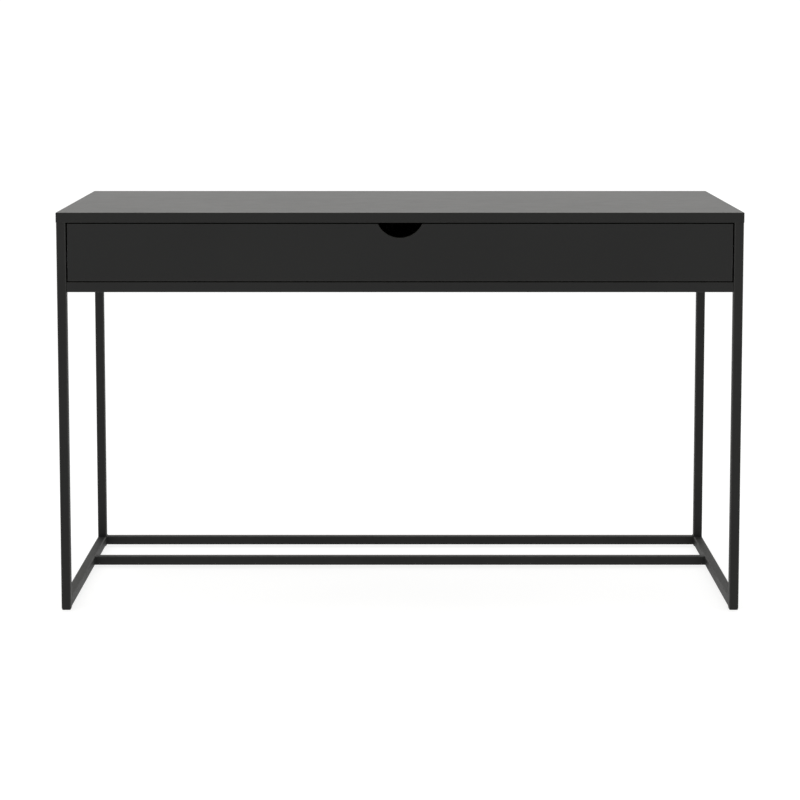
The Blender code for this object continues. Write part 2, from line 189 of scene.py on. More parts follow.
lacquer = {
    "dark": colour(0.0064, 0.0066, 0.0064),
    "light": colour(0.0078, 0.0080, 0.0077),
    "worn": colour(0.0280, 0.0270, 0.0245),
    "dust": colour(0.0500, 0.0490, 0.0460),
    "gloss": 0.25,
    "roughness": 0.42,
    "drift": 0.35,  # slow change of tone
    "clouds": 0.045,  # patches where a hand has wiped it
    "peel": 0.0026,  # the spray gun's orange peel
    "peelDepth": 0.00005,
    "grit": 0.00045,
    "gritDepth": 0.000010,
    "rubbed": 0.006,
    "dustSpacing": 0.009,
    "dustRadius": 0.00022,
}


def lacquerFinish():
    made, shader, place = newFinish("black_lacquer", {"Specular IOR Level": lacquer["gloss"]})
    drift = patches(place, lacquer["drift"], 3.0)
    clouds = patches(place, lacquer["clouds"], 4.0)
    peel = patches(place, lacquer["peel"])
    grit = patches(place, lacquer["grit"])
    wear = rubbedEdges(place, lacquer["rubbed"])
    dust = dots(place, lacquer["dustSpacing"], lacquer["dustRadius"]) * step(clouds, 0.45, 0.7)
    tone = mixed(step(drift, 0.35, 0.65), lacquer["dark"], lacquer["light"])
    tone = mixed(wear * 0.5, tone, lacquer["worn"])
    tone = mixed(dust * 0.5, tone, lacquer["dust"])
    rough = lacquer["roughness"] + (drift - 0.5) * 0.04 + (clouds - 0.5) * 0.05
    rough = rough + (grit - 0.5) * 0.10 + dust * 0.2
    bump = raised(peel, lacquer["peelDepth"])
    bump = raised(grit, lacquer["gritDepth"], bump)
    drive(shader, Base_Color=tone, Roughness=rough, Normal=bump)
    return made


drawerBoard = {
    "dark": colour(0.0150, 0.0148, 0.0142),
    "light": colour(0.0260, 0.0256, 0.0244),
    "worn": colour(0.0520, 0.0500, 0.0460),
    "gloss": 0.40,
    "roughness": 0.56,
    "pore": 0.0007,  # across the grain
    "poreRun": 0.035,  # along it
    "poreDepth": 0.00005,
    "figure": 0.0098,
    "clouds": 0.09,
    "rubbed": 0.005,
}


# black melamine board, embossed with a fine wood pore that runs along X or Y
def drawerBoardFinish(name, alongX):
    made, shader, place = newFinish(name, {"Specular IOR Level": drawerBoard["gloss"]})
    run = drawerBoard["pore"] / drawerBoard["poreRun"]
    grain = stretched(place, (run, 1.0, 1.0) if alongX else (1.0, run, 1.0))
    pores = step(patches(grain, drawerBoard["pore"], 3.0), 0.46, 0.62)
    figure = patches(grain, drawerBoard["figure"], 3.0)
    clouds = patches(place, drawerBoard["clouds"], 3.0)
    wear = rubbedEdges(place, drawerBoard["rubbed"])
    tone = mixed(step(figure, 0.35, 0.7), drawerBoard["dark"], drawerBoard["light"])
    tone = mixed(pores * 0.45, tone, drawerBoard["dark"])
    tone = mixed(wear * 0.5, tone, drawerBoard["worn"])
    rough = drawerBoard["roughness"] + pores * 0.12 + (clouds - 0.5) * 0.14
    bump = raised(1.0 - pores, drawerBoard["poreDepth"])
    drive(shader, Base_Color=tone, Roughness=rough, Normal=bump)
    return made


powderCoat = {
    "dark": colour(0.0110, 0.0110, 0.0106),
    "light": colour(0.0140, 0.0140, 0.0134),
    "worn": colour(0.0400, 0.0395, 0.0380),
    "gloss": 0.20,
    "roughness": 0.56,
    "grain": 0.0009,
    "grainDepth": 0.00005,
    "wave": 0.006,
    "waveDepth": 0.00005,
    "drift": 0.18,
    "scuff": 0.012,
    "rubbed": 0.004,
}


def powderCoatFinish():
    gloss = {"Specular IOR Level": powderCoat["gloss"]}
    made, shader, place = newFinish("black_powder_coat", gloss)
    grain = patches(place, powderCoat["grain"], 3.0)
    wave = patches(place, powderCoat["wave"])
    drift = patches(place, powderCoat["drift"], 3.0)
    upright = stretched(place, (1.0, 1.0, 0.25))
    scuffs = step(patches(upright, powderCoat["scuff"], 5.0), 0.60, 0.72)
    wear = rubbedEdges(place, powderCoat["rubbed"], 0.50, 1.0)
    tone = mixed(step(drift, 0.35, 0.65), powderCoat["dark"], powderCoat["light"])
    tone = mixed(wear * 0.55, tone, powderCoat["worn"])
    rough = powderCoat["roughness"] + (grain - 0.5) * 0.16 + (drift - 0.5) * 0.10
    rough = rough + scuffs * 0.07 - wear * 0.06
    bump = raised(wave, powderCoat["waveDepth"])
    bump = raised(grain, powderCoat["grainDepth"], bump)
    drive(shader, Base_Color=tone, Roughness=rough, Normal=bump)
    return made


zinc = {
    "bright": colour(0.46, 0.475, 0.495),
    "dull": colour(0.385, 0.395, 0.405),
    "gold": colour(0.44, 0.425, 0.365),
    "roughness": 0.30,
    "streak": 0.0006,  # across the rolling direction
    "streakRun": 0.045,  # along it
    "streakDepth": 0.00002,
    "bloom": 0.040,  # patches of yellow passivation
    "spangle": 0.0022,
    "scratch": 0.0011,
    "scratchRun": 0.055,
}


def zincFinish():
    made, shader, place = newFinish("bright_zinc_plate", {"Metallic": 1.0})
    run = zinc["streak"] / zinc["streakRun"]
    streaks = patches(stretched(place, (1.0, run, 1.0)), zinc["streak"], 3.0)
    bloom = patches(place, zinc["bloom"], 3.0)
    spangle = patches(place, zinc["spangle"], 4.0)
    worn = stretched(place, (1.0, zinc["scratch"] / zinc["scratchRun"], 1.0))
    scratches = step(patches(worn, zinc["scratch"], 4.0), 0.60, 0.68)
    tone = mixed(step(streaks, 0.30, 0.70), zinc["bright"], zinc["dull"])
    tone = mixed(step(bloom, 0.50, 0.85) * 0.35, tone, zinc["gold"])
    tone = mixed(wornEdges(place) * 0.35, tone, zinc["bright"])
    rough = zinc["roughness"] + (spangle - 0.5) * 0.12 + (streaks - 0.5) * 0.20 + scratches * 0.14
    bump = raised(streaks, zinc["streakDepth"])
    drive(shader, Base_Color=tone, Roughness=rough, Normal=bump)
    return made


ballSteel = {
    "tone": colour(0.58, 0.58, 0.60),
    "grease": colour(0.42, 0.39, 0.34),
    "roughness": 0.10,
    "smear": 0.002,
    "smearDepth": 0.000004,
}


def ballSteelFinish():
    made, shader, place = newFinish("polished_ball_steel", {"Metallic": 1.0})
    grease = patches(place, ballSteel["smear"], 4.0)
    tone = mixed(step(grease, 0.5, 0.75), ballSteel["tone"], ballSteel["grease"])
    rough = ballSteel["roughness"] + step(grease, 0.45, 0.8) * 0.22
    bump = raised(grease, ballSteel["smearDepth"])
    drive(shader, Base_Color=tone, Roughness=rough, Normal=bump)
    return made


screwSteel = {
    "black": colour(0.055, 0.055, 0.058),
    "grey": colour(0.110, 0.108, 0.105),
    "bare": colour(0.320, 0.315, 0.305),
    "roughness": 0.36,
    "stain": 0.0016,
    "pit": 0.0004,
    "pitDepth": 0.00001,
    "rubbed": 0.0007,
}


def screwSteelFinish():
    made, shader, place = newFinish("black_zinc_screw", {"Metallic": 1.0})
    stain = patches(place, screwSteel["stain"], 4.0)
    pits = patches(place, screwSteel["pit"], 3.0)
    rubbed = step(wornEdges(place) * (0.5 + patches(place, screwSteel["rubbed"], 3.0)), 0.55, 1.1)
    tone = mixed(step(stain, 0.35, 0.7), screwSteel["black"], screwSteel["grey"])
    tone = mixed(rubbed * 0.5, tone, screwSteel["bare"])
    rough = screwSteel["roughness"] + (pits - 0.5) * 0.24 - rubbed * 0.08
    bump = raised(pits, screwSteel["pitDepth"])
    drive(shader, Base_Color=tone, Roughness=rough, Normal=bump)
    return made


nylon = {
    "black": colour(0.0085, 0.0085, 0.0088),
    "chalk": colour(0.0280, 0.0275, 0.0265),
    "gloss": 0.20,
    "roughness": 0.60,
    "grain": 0.0005,
    "grainDepth": 0.00003,
    "flow": 0.008,
    "dusty": 0.002,
}


# moulded nylon with a fine grain, and dust rubbed into its edges
def nylonFinish():
    made, shader, place = newFinish("black_nylon", {"Specular IOR Level": nylon["gloss"]})
    grain = patches(place, nylon["grain"], 3.0)
    flow = patches(place, nylon["flow"], 3.0)
    dusty = rubbedEdges(place, nylon["dusty"])
    tone = mixed(dusty * 0.6, nylon["black"], nylon["chalk"])
    rough = nylon["roughness"] + (grain - 0.5) * 0.14 + (flow - 0.5) * 0.16 + dusty * 0.1
    bump = raised(grain, nylon["grainDepth"])
    drive(shader, Base_Color=tone, Roughness=rough, Normal=bump)
    return made


finishes = {
    "lacquered_board": lacquerFinish(),
    "across": drawerBoardFinish("black_melamine_across", True),
    "lengthways": drawerBoardFinish("black_melamine_lengthways", False),
    "powder_coated_steel": powderCoatFinish(),
    "zinc_plated_steel": zincFinish(),
    "ball_steel": ballSteelFinish(),
    "blackened_screw_steel": screwSteelFinish(),
    "glide_nylon": nylonFinish(),
}
print("finishes:", len(finishes))


# shared modelling steps

mergeGap = 1e-6  # vertices closer than this become one


def cuboid(low, high):
    shape = bmesh.new()
    bmesh.ops.create_cube(shape, size=1.0)
    bmesh.ops.scale(shape, vec=high - low, verts=shape.verts)
    bmesh.ops.translate(shape, vec=(low + high) / 2, verts=shape.verts)
    return shape


# a cylinder along an axis (0, 1 or 2) between two heights on it
def rod(centre, axis, start, end, radius, segments):
    shape = bmesh.new()
    bmesh.ops.create_cone(
        shape,
        cap_ends=True,
        segments=segments,
        radius1=radius,
        radius2=radius,
        depth=abs(end - start),
    )
    turn = Vector((0, 0, 1)).rotation_difference(Vector([float(i == axis) for i in range(3)]))
    bmesh.ops.rotate(shape, verts=shape.verts, matrix=turn.to_matrix())
    spot = Vector(centre)
    spot[axis] = (start + end) / 2
    bmesh.ops.translate(shape, vec=spot, verts=shape.verts)
    return shape


# edges that turn by more than an angle in radians
def sharpEdges(shape, least=0.9):
    return [e for e in shape.edges if e.is_manifold and e.calc_face_angle(0.0) > least]


def roundEdges(shape, edges, width, segments):
    bmesh.ops.bevel(
        shape,
        geom=edges,
        offset=width,
        segments=segments,
        profile=0.5,
        affect="EDGES",
        material=-1,
        clamp_overlap=True,
    )


# a narrow border inside every face over three borders wide keeps shading and wear at its edges
def borderFlats(shape, width):
    wide = [
        f for f in shape.faces if f.calc_area() > 3 * width * max(e.calc_length() for e in f.edges)
    ]
    bmesh.ops.inset_individual(shape, faces=wide, thickness=width, use_even_offset=True)


# how much each vertex is worn: nothing where flat, all where its edges turn by fullAngle
def markWear(shape, fullAngle=0.22):
    wear = shape.verts.layers.float.get("wear") or shape.verts.layers.float.new("wear")
    for vert in shape.verts:
        bend = max((e.calc_face_angle(0.0) for e in vert.link_edges), default=0.0)
        vert[wear] = min(1.0, bend / fullAngle)


def spareObject(shape):
    mesh = bpy.data.meshes.new("spare")
    shape.to_mesh(mesh)
    shape.free()
    made = bpy.data.objects.new("spare", mesh)
    bpy.context.scene.collection.objects.link(made)
    return made


# the shape after each tool has been cut from it, or joined to it
def carve(shape, tools, operation="DIFFERENCE"):
    if not tools:
        return shape
    work = spareObject(shape)
    spares = [spareObject(tool) for tool in tools]
    for tool in spares:
        change = work.modifiers.new("carve", "BOOLEAN")
        change.operation = operation
        change.solver = "EXACT"
        change.object = tool
    carved = bmesh.new()
    carved.from_object(work, bpy.context.evaluated_depsgraph_get())
    for spare in [work, *spares]:
        mesh = spare.data
        bpy.data.objects.remove(spare)
        bpy.data.meshes.remove(mesh)
    return carved


# the finished piece rides on the body of the node that it stands for
def keepPiece(name, shape, finish, stands, smoothAngle=35):
    mesh = bpy.data.meshes.new(name)
    shape.to_mesh(mesh)
    shape.free()
    mesh.materials.append(finishes[finish])
    mesh.shade_smooth()
    mesh.set_sharp_from_angle(angle=math.radians(smoothAngle))
    piece = bpy.data.objects.new(name, mesh)
    bpy.context.scene.collection.objects.link(piece)
    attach(piece, bodyOf[stands])
    return piece


def longAxis(node):
    low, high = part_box(node)
    size = high - low
    return max(range(3), key=lambda i: size[i])


# screws: their places first, because boards and strips are drilled for them

screw = {
    "head": 0.0036,
    "headHeight": 0.0017,
    "headRim": 0.3,  # share of the height below the dome
    "headFullness": 0.8,  # a sphere's is 1, and less is fuller
    "headSteps": 8,
    "headSides": 40,
    "chamfer": 0.0003,
    "headBeyond": 0.003,  # only the head reaches further than this from the middle
    "core": 0.00115,
    "crest": 0.00172,
    "pitch": 0.0016,
    "flank": 3.2,  # more makes a sharper crest with a wider root
    "plain": 0.0008,  # below the head, before the thread starts
    "runIn": 0.0016,
    "point": 0.0035,
    "blunt": 0.04,  # of the shank's radius, at the very tip
    "sink": 0.0006,  # of the shank in the head
    "sides": 16,
    "ringsPerTurn": 6,
    "recess": 0.0019,  # half the cross recess's span
    "recessWidth": 0.0009,
    "recessDepth": 0.0012,
    "recessTaper": (0.55, 0.7, 1.0),
    "recessTurn": 0.4,
    "recessSpare": 0.0004,
    "turnEach": 1.9,  # no two heads stand at the same angle
    "wearAngle": 0.6,
    "smoothAngle": 40,
    "hole": 0.00195,
    "holeSides": 24,
    "holeStart": 0.001,  # above the seat
    "holeSpare": 0.0004,  # past the tip
}
screwNodes = sorted(n for n, slot in slotOf.items() if slot == "blackened_screw_steel")


# (axis, way the screw points, seat of its head, length below the head)
def screwPlace(node):
    low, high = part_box(node)
    axis = longAxis(node)
    centre = (low + high) / 2
    wide = [
        v.co[axis]
        for v in frame["nodes"][node].data.vertices
        if sum((v.co[i] - centre[i]) ** 2 for i in range(3) if i != axis) > screw["headBeyond"] ** 2
    ]
    way = 1.0 if sum(wide) / len(wide) < centre[axis] else -1.0
    headEnd = low[axis] if way > 0 else high[axis]
    seat = centre.copy()
    seat[axis] = headEnd + way * screw["headHeight"]
    return axis, way, seat, high[axis] - low[axis] - screw["headHeight"]


# holes for these screws, as tools to carve with
def drills(names):
    tools = []
    for node in names:
        axis, way, seat, length = screwPlace(node)
        start = seat[axis] - way * screw["holeStart"]
        end = seat[axis] + way * (length + screw["holeSpare"])
        tools.append(rod(seat, axis, start, end, screw["hole"], screw["holeSides"]))
    return tools


def screwsNamed(*words):
    return [n for n in screwNodes if all(w in n for w in words)]


# a threaded shank: a plain rod whose rings follow the thread's helix
def threadedShank(length):
    rings = round(length / screw["pitch"] * screw["ringsPerTurn"])
    shape = bmesh.new()
    bmesh.ops.create_cone(
        shape,
        cap_ends=True,
        segments=screw["sides"],
        radius1=1.0,
        radius2=1.0,
        depth=length,
    )
    bmesh.ops.translate(shape, vec=(0, 0, -length / 2 + screw["sink"]), verts=shape.verts)
    long = [e for e in shape.edges if abs(e.verts[0].co.z - e.verts[1].co.z) > length / 2]
    bmesh.ops.subdivide_edges(shape, edges=long, cuts=rings, use_grid_fill=True)
    tip = screw["sink"] - length
    for vert in shape.verts:
        turn = math.atan2(vert.co.y, vert.co.x) / math.tau
        place = (-vert.co.z / screw["pitch"] - turn) % 1.0
        crest = max(0.0, 1.0 - screw["flank"] * abs(place - 0.5))
        grown = min(1.0, max(0.0, (-vert.co.z - screw["plain"]) / screw["runIn"]))
        narrow = min(1.0, (vert.co.z - tip) / screw["point"] + screw["blunt"])
        radius = screw["core"] + (screw["crest"] - screw["core"]) * crest * grown
        vert.co.x *= radius * narrow
        vert.co.y *= radius * narrow
    return shape


# a pan head above z = 0
def panHead():
    shape = bmesh.new()
    wide, height, chamfer = screw["head"], screw["headHeight"], screw["chamfer"]
    rim = screw["headRim"]
    outline = [(0.0, height)]
    for i in range(1, screw["headSteps"] + 1):
        angle = math.pi / 2 * i / screw["headSteps"]
        radius = wide * math.sin(angle) ** screw["headFullness"]
        outline.append((radius, height * (rim + (1.0 - rim) * math.cos(angle))))
    outline += [(wide, chamfer), (wide - chamfer, 0.0), (0.0, 0.0)]
    points = [shape.verts.new((radius, 0.0, z)) for radius, z in outline]
    edges = [shape.edges.new(pair) for pair in zip(points, points[1:])]
    bmesh.ops.spin(
        shape,
        geom=points + edges,
        cent=(0, 0, 0),
        axis=(0, 0, 1),
        angle=math.tau,
        steps=screw["headSides"],
        use_merge=True,
    )
    bmesh.ops.remove_doubles(shape, verts=shape.verts, dist=mergeGap)
    bmesh.ops.recalc_face_normals(shape, faces=shape.faces)
    return shape


# one wing of the cross recess, narrower at its bottom
def recessWing(turn):
    halfLong, halfWide = screw["recess"], screw["recessWidth"] / 2
    top = screw["headHeight"] + screw["recessSpare"]
    floor = screw["headHeight"] - screw["recessDepth"]
    shape = cuboid(Vector((-halfLong, -halfWide, floor)), Vector((halfLong, halfWide, top)))
    lower = [v for v in shape.verts if v.co.z < (floor + top) / 2]
    bmesh.ops.scale(shape, vec=screw["recessTaper"], verts=lower)
    bmesh.ops.rotate(shape, verts=shape.verts, matrix=Matrix.Rotation(turn, 3, "Z"))
    return shape


masterScrews = {}


def masterScrew(length):
    key = round(length, 4)
    if key not in masterScrews:
        shape = carve(panHead(), [threadedShank(length)], "UNION")
        turn = screw["recessTurn"]
        shape = carve(shape, [recessWing(turn), recessWing(turn + math.pi / 2)])
        bmesh.ops.recalc_face_normals(shape, faces=shape.faces)
        markWear(shape, screw["wearAngle"])
        mesh = bpy.data.meshes.new("master_screw")
        shape.to_mesh(mesh)
        shape.free()
        masterScrews[key] = mesh
    return masterScrews[key]


def makeScrews():
    for number, node in enumerate(screwNodes):
        axis, way, seat, length = screwPlace(node)
        shape = bmesh.new()
        shape.from_mesh(masterScrew(length))
        out = Vector([-way * float(i == axis) for i in range(3)])
        spun = Matrix.Rotation(number * screw["turnEach"], 3, "Z")
        bmesh.ops.rotate(shape, verts=shape.verts, matrix=spun)
        turn = Vector((0, 0, 1)).rotation_difference(out)
        bmesh.ops.rotate(shape, verts=shape.verts, matrix=turn.to_matrix())
        bmesh.ops.translate(shape, vec=seat, verts=shape.verts)
        smooth = screw["smoothAngle"]
        piece = keepPiece(node + "_turned", shape, "blackened_screw_steel", node, smooth)
        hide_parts(node)
    for mesh in masterScrews.values():
        bpy.data.meshes.remove(mesh)
    print("screws:", len(screwNodes))


# boards

board = {
    "arris": 0.0008,
    "arrisSteps": 5,
    "border": 0.0014,
}


def makeBoard(node, finish, screws=(), cuts=(), rounded=True):
    low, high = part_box(node)
    shape = cuboid(low, high)
    if rounded:
        roundEdges(shape, shape.edges[:], board["arris"], board["arrisSteps"])
    borderFlats(shape, board["border"])
    markWear(shape)
    shape = carve(shape, [*cuts, *drills(screws)])
    piece = keepPiece(node + "_board", shape, finish, node)
    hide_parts(node)


def makeCase():
    lacquered = "lacquered_board"
    makeBoard("worktop", lacquered, screwsNamed("top_screw"))
    makeBoard("case_bottom", lacquered, screwsNamed("back_panel_screw"))
    makeBoard("back_panel", lacquered, screwsNamed("back_panel_screw"))
    for side in sides:
        makeBoard(f"side_panel_{side}", lacquered, screwsNamed("case_slide_screw", side))
    print("case: 5 boards")


# drawer

notch = {
    "radius": 0.0466,
    "centreRise": 0.0200,  # above the drawer front's upper edge
    "segments": 160,
    "through": 0.01,
}
groove = {"spare": 0.0003}


def bottomGroove():
    low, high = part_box("drawer_bottom")
    spare = Vector([groove["spare"]] * 3)
    return cuboid(low - spare, high + spare)


def makeDrawerFront():
    low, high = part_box("drawer_front")
    shape = cuboid(low, high)
    centre = (0.0, 0.0, high.z + notch["centreRise"])
    start, end = low.y - notch["through"], high.y + notch["through"]
    shape = carve(shape, [rod(centre, 1, start, end, notch["radius"], notch["segments"])])
    bmesh.ops.remove_doubles(shape, verts=shape.verts, dist=mergeGap)
    roundEdges(shape, sharpEdges(shape), board["arris"], board["arrisSteps"])
    borderFlats(shape, board["border"])
    markWear(shape)
    shape = carve(shape, [bottomGroove(), *drills(screwsNamed("bracket_front_screw"))])
    piece = keepPiece("drawer_front_board", shape, "lacquered_board", "drawer_front")
    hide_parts("drawer_front")


def makeDrawerBox():
    for side in sides:
        screws = screwsNamed("drawer_slide_screw", side) + screwsNamed("bracket_side_screw", side)
        makeBoard(f"drawer_side_{side}", "lengthways", screws, [bottomGroove()])
    makeBoard("drawer_back", "across", cuts=[bottomGroove()])
    makeBoard("drawer_bottom", "across", rounded=False)
    print("drawer: front, two sides, back, bottom")


# steel frame

tube = {
    "corner": 0.0018,
    "cornerSteps": 6,
    "wall": 0.0015,
    "border": 0.0011,
    "closeUp": 0.00025,  # how far an end that butts another tube closes the gap
}


def makeTube(node, butts):
    low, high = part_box(node)
    axis = longAxis(node)
    size = high - low
    length = size[axis] + (2 * tube["closeUp"] if butts else 0.0)
    across = min(size)
    half = Vector((across, across, length)) / 2
    shape = cuboid(-half, half)
    corners = [e for e in shape.edges if abs(e.verts[0].co.z - e.verts[1].co.z) > across]
    roundEdges(shape, corners, tube["corner"], tube["cornerSteps"])
    ends = [f for f in shape.faces if abs(f.normal.z) > 0.9]
    bmesh.ops.delete(shape, geom=ends, context="FACES_ONLY")
    borderFlats(shape, tube["border"])
    bmesh.ops.recalc_face_normals(shape, faces=shape.faces)
    bmesh.ops.solidify(shape, geom=shape.faces[:], thickness=tube["wall"])
    markWear(shape)
    out = Vector([float(i == axis) for i in range(3)])
    turn = Vector((0, 0, 1)).rotation_difference(out)
    bmesh.ops.rotate(shape, verts=shape.verts, matrix=turn.to_matrix())
    bmesh.ops.translate(shape, vec=(low + high) / 2, verts=shape.verts)
    piece = keepPiece(node + "_tube", shape, "powder_coated_steel", node)
    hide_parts(node)


weld = {
    "bead": 0.0015,
    "beadSteps": 2,
    "proud": 0.00015,  # of the tubes' faces where they lie level
    "ripple": 0.06,
    "ripplePitch": 0.0014,
    "stepLength": 0.0007,
    "cornerRadius": 0.0014,
    "cornerSteps": 3,
    "wearAngle": 2.0,
    "smoothAngle": 60,
}


# a bead round a tube's end, in the plane of the face it butts; flush names the
# sides (-1 or 1 on each cross axis) where the two faces lie level
def weldRing(centre, axis, reach, flush):
    cross = [i for i in range(3) if i != axis]
    sink = weld["bead"] - weld["proud"]
    low, high = [0.0, 0.0], [0.0, 0.0]
    for k, i in enumerate(cross):
        low[k] = -reach + (sink if (i, -1) in flush else 0.0)
        high[k] = reach - (sink if (i, 1) in flush else 0.0)
    radius = weld["cornerRadius"]
    path = []
    corners = [(high[0], high[1]), (low[0], high[1]), (low[0], low[1]), (high[0], low[1])]
    for quarter, (x, y) in enumerate(corners):
        middle = Vector((x - math.copysign(radius, x), y - math.copysign(radius, y)))
        for i in range(weld["cornerSteps"] + 1):
            angle = (quarter + i / weld["cornerSteps"]) * math.pi / 2
            path.append(middle + radius * Vector((math.cos(angle), math.sin(angle))))
    points = []
    for here, there in zip(path, path[1:] + path[:1]):
        steps = max(1, round((there - here).length / weld["stepLength"]))
        points += [here.lerp(there, i / steps) for i in range(steps)]
    run = bpy.data.curves.new("weld", "CURVE")
    run.dimensions = "3D"
    run.bevel_depth = weld["bead"]
    run.bevel_resolution = weld["beadSteps"]
    line = run.splines.new("POLY")
    line.use_cyclic_u = True
    line.points.add(len(points) - 1)
    travelled = 0.0
    for i, point in enumerate(points):
        spot = Vector(centre)
        spot[cross[0]] += point.x
        spot[cross[1]] += point.y
        line.points[i].co = (*spot, 1.0)
        ripples = travelled / weld["ripplePitch"]
        line.points[i].radius = 1.0 + weld["ripple"] * math.sin(math.tau * ripples)
        travelled += (points[(i + 1) % len(points)] - point).length
    return run


def makeWelds():
    legLow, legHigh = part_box("front_leg_left")
    reach = (legHigh.x - legLow.x) / 2
    rings = []
    for side, sign in sides.items():
        for end, way in (("front", -1), ("rear", 1)):
            low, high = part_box(f"{end}_leg_{side}")
            x = (low.x + high.x) / 2
            y = high.y if way < 0 else low.y
            runner = (x, y, low.z + reach)
            rail = (x, y, high.z - reach)
            rings.append(weldRing(runner, 1, reach, {(0, -1), (0, 1), (2, -1)}))
            rings.append(weldRing(rail, 1, reach, {(0, -1), (0, 1), (2, 1)}))
        low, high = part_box(f"rear_leg_{side}")
        inner = low.x if sign > 0 else high.x
        foot = (inner, (low.y + high.y) / 2, low.z + reach)
        rings.append(weldRing(foot, 0, reach, {(1, 1), (2, -1)}))
        low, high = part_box("middle_stretcher")
        middle = (low + high) / 2
        rings.append(weldRing((inner, middle.y, middle.z), 0, reach, {(2, -1), (2, 1)}))
    welds = bmesh.new()
    for run in rings:
        bead = bpy.data.objects.new("weld", run)
        bpy.context.scene.collection.objects.link(bead)
        graph = bpy.context.evaluated_depsgraph_get()
        mesh = bpy.data.meshes.new_from_object(bead.evaluated_get(graph))
        welds.from_mesh(mesh)
        bpy.data.meshes.remove(mesh)
        bpy.data.objects.remove(bead)
        bpy.data.curves.remove(run)
    markWear(welds, weld["wearAngle"])
    smooth = weld["smoothAngle"]
    keepPiece("frame_welds", welds, "powder_coated_steel", "front_leg_left", smooth)
    print("welds:", len(rings))


strip = {"edge": 0.0004, "edgeSteps": 3, "border": 0.0010}


def makeFixingStrip(side):
    node = f"top_fixing_strip_{side}"
    low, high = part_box(node)
    shape = cuboid(low, high)
    roundEdges(shape, shape.edges[:], strip["edge"], strip["edgeSteps"])
    borderFlats(shape, strip["border"])
    markWear(shape)
    shape = carve(shape, drills(screwsNamed("top_screw", side)))
    piece = keepPiece(node + "_bar", shape, "powder_coated_steel", node)
    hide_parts(node)


glide = {
    "pad": 0.0037,
    "edge": 0.0025,
    "edgeSteps": 6,
    "stem": 0.0144,
    "fins": 4,
    "finDepth": 0.0009,
    "taper": 0.0004,
    "neckShare": 0.45,  # of the height from fin to fin
    "finShare": 0.35,
    "taperShare": 0.2,
}


def stepIn(shape, face, distance):
    bmesh.ops.inset_individual(shape, faces=[face], thickness=distance, depth=0.0)


def stepUp(shape, face, distance):
    bmesh.ops.translate(shape, vec=(0, 0, distance), verts=face.verts)


# a square plug: a rounded pad, then a finned stem up the leg's bore
def makeGlide(node):
    low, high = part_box(node)
    centre = (low + high) / 2
    half = (high.x - low.x) / 2
    shape = cuboid(Vector((-half, -half, 0.0)), Vector((half, half, glide["pad"])))
    rounded = [e for e in shape.edges if min(v.co.z for v in e.verts) < glide["pad"] / 2]
    roundEdges(shape, rounded, glide["edge"], glide["edgeSteps"])
    top = max(shape.faces, key=lambda f: (round(f.calc_center_median().z, 6), f.calc_area()))
    rim = half - glide["stem"] / 2
    bmesh.ops.inset_individual(shape, faces=[top], thickness=rim, use_even_offset=True)
    rise = (high.z - glide["pad"]) / glide["fins"]
    for _ in range(glide["fins"]):
        stepIn(shape, top, glide["finDepth"])
        stepUp(shape, top, rise * glide["neckShare"])
        stepIn(shape, top, glide["finDepth"])
        factor = (glide["stem"] / 2) / max(abs(v.co.x) for v in top.verts)
        bmesh.ops.scale(shape, vec=(factor, factor, 1.0), verts=top.verts)
        stepUp(shape, top, rise * glide["finShare"])
        stepIn(shape, top, glide["taper"])
        stepUp(shape, top, rise * glide["taperShare"])
    bmesh.ops.translate(shape, vec=(centre.x, centre.y, low.z), verts=shape.verts)
    markWear(shape)
    piece = keepPiece(node + "_moulding", shape, "glide_nylon", node)
    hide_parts(node)


def makeFrame():
    for side in sides:
        for end in ("front", "rear"):
            makeTube(f"{end}_leg_{side}", False)
            makeGlide(f"{end}_glide_{side}")
        makeTube(f"floor_runner_{side}", True)
        makeTube(f"upper_side_rail_{side}", True)
        makeFixingStrip(side)
    makeTube("rear_stretcher", True)
    makeTube("middle_stretcher", True)
    makeWelds()
    print("frame: tubes, strips and glides")


# folded sheet metal: the line of its outer face is drawn out, then bent, its corners are
# rounded and it is thickened towards the inside
def foldedSheet(line, draw, inside, metal):
    shape = bmesh.new()
    points = [shape.verts.new(point) for point in line]
    edges = [shape.edges.new(pair) for pair in zip(points, points[1:])]
    drawn = bmesh.ops.extrude_edge_only(shape, edges=edges)
    moved = [v for v in drawn["geom"] if isinstance(v, bmesh.types.BMVert)]
    bmesh.ops.translate(shape, vec=draw, verts=moved)
    roundEdges(shape, sharpEdges(shape), metal["bend"], metal["bendSteps"])
    bmesh.ops.bevel(
        shape,
        geom=[v for v in shape.verts if len(v.link_edges) == 2],
        offset=metal["corner"],
        segments=metal["cornerSteps"],
        profile=0.5,
        affect="VERTICES",
        material=-1,
        clamp_overlap=True,
    )
    bmesh.ops.recalc_face_normals(shape, faces=shape.faces)
    widest = max(shape.faces, key=lambda f: f.calc_area())
    if widest.normal.dot(Vector(inside) - widest.calc_center_median()) > 0:
        bmesh.ops.reverse_faces(shape, faces=shape.faces)
    bmesh.ops.solidify(shape, geom=shape.faces[:], thickness=metal["sheet"])
    return shape


bracket = {"sheet": 0.0015, "bend": 0.0024, "bendSteps": 6, "corner": 0.004, "cornerSteps": 5}


def makeBracket(side, sign):
    node = f"corner_bracket_{side}"
    low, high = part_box(node)
    corner, far = (high.x, low.x) if sign > 0 else (low.x, high.x)
    line = [(far, low.y, low.z), (corner, low.y, low.z), (corner, high.y, low.z)]
    inside = ((low.x + high.x) / 2, high.y, (low.z + high.z) / 2)
    height = Vector((0, 0, high.z - low.z))
    shape = foldedSheet(line, height, inside, bracket)
    markWear(shape)
    shape = carve(shape, drills(screwsNamed("bracket", side)))
    piece = keepPiece(node + "_folded", shape, "zinc_plated_steel", node)
    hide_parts(node)


# drawer slides

